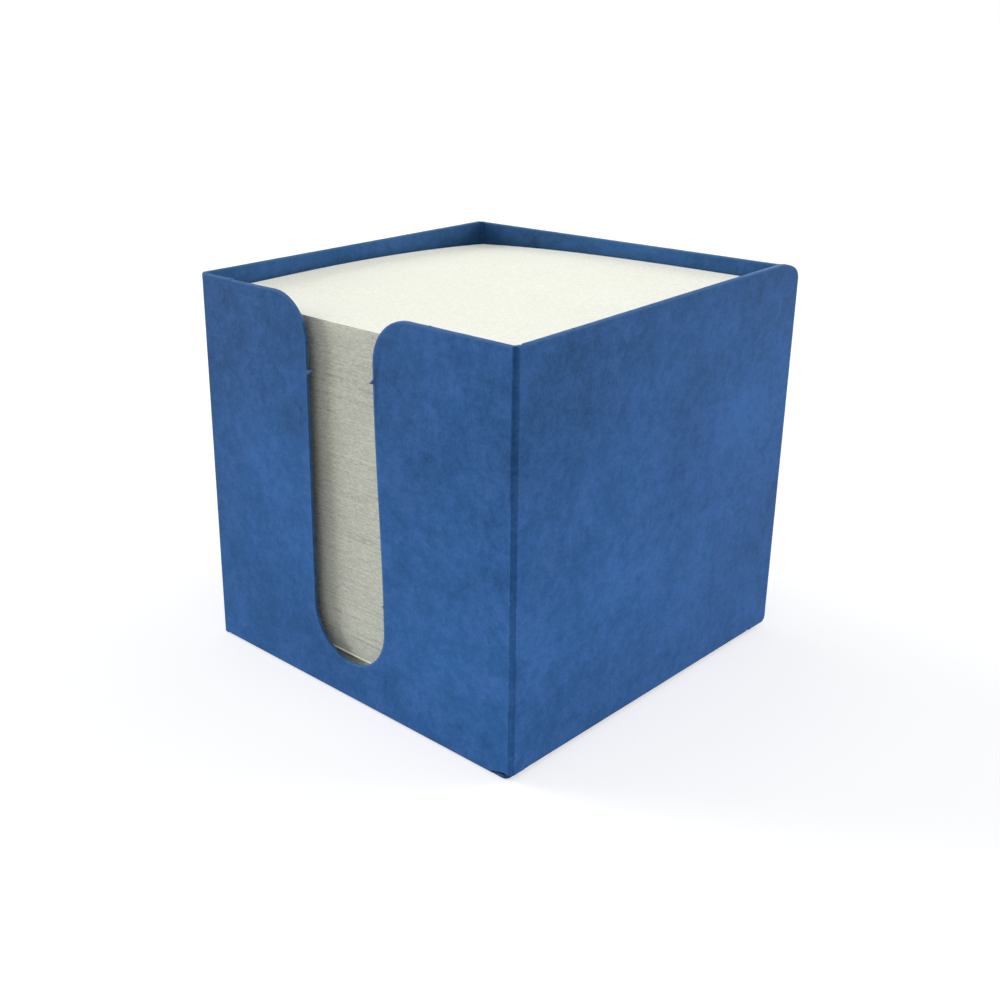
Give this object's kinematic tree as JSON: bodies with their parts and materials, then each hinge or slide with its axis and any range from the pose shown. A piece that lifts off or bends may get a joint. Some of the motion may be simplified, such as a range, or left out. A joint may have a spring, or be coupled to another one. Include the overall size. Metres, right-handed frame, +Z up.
{
  "type": "memo cube holder",
  "caption": "Square open-topped desk box folded from pressboard, with a U-shaped thumb slot in its front wall, filled with loose memo sheets that lift out.",
  "frame": {"origin": "middle of the foot: the centre of the bounding box in plan, on the surface that the box stands on", "axes": "+Z up; the wall with the thumb slot faces -Y; the wall with the free rear edge faces +X"},
  "size_m": [0.094, 0.0964, 0.0915],
  "materials": {
    "pressboard": "matt blue pressboard with cloudy darker mottling and fine fibres",
    "crease": "the same board pressed dark by the scoring rule",
    "memo_paper": "matt cream-white uncoated paper"
  },
  "bodies": {
    "box": {"front_wall": "pressboard", "right_wall": "pressboard", "back_wall": "pressboard", "left_wall": "pressboard", "glue_flap": "pressboard", "base_panel": "pressboard", "right_base_flap": "pressboard", "back_base_flap": "pressboard", "left_base_flap": "pressboard", "front_base_crease": "pressboard", "right_base_crease": "pressboard", "back_base_crease": "pressboard", "left_base_crease": "pressboard", "front_right_crease": "crease", "front_left_crease": "crease", "back_left_crease": "crease", "seam_crease": "crease"},
    "lower_pack": {"lower_pack": "memo_paper"},
    "upper_pack": {"upper_pack_1": "memo_paper", "upper_pack_2": "memo_paper", "upper_pack_3": "memo_paper", "upper_pack_4": "memo_paper", "upper_pack_5": "memo_paper", "upper_pack_6": "memo_paper", "upper_pack_7": "memo_paper"},
    "top_sheet": {"top_sheet": "memo_paper"}
  },
  "joints": [
    {"name": "lower_pack_lift", "type": "slide", "parent": "box", "child": "lower_pack", "axis": [0, 0, 1], "range_m": [0, 0.1]},
    {"name": "upper_pack_lift", "type": "slide", "parent": "lower_pack", "child": "upper_pack", "axis": [0, 0, 1], "range_m": [0, 0.09]},
    {"name": "top_sheet_lift", "type": "slide", "parent": "upper_pack", "child": "top_sheet", "axis": [0, 0, 1], "range_m": [0, 0.03]}
  ]
}
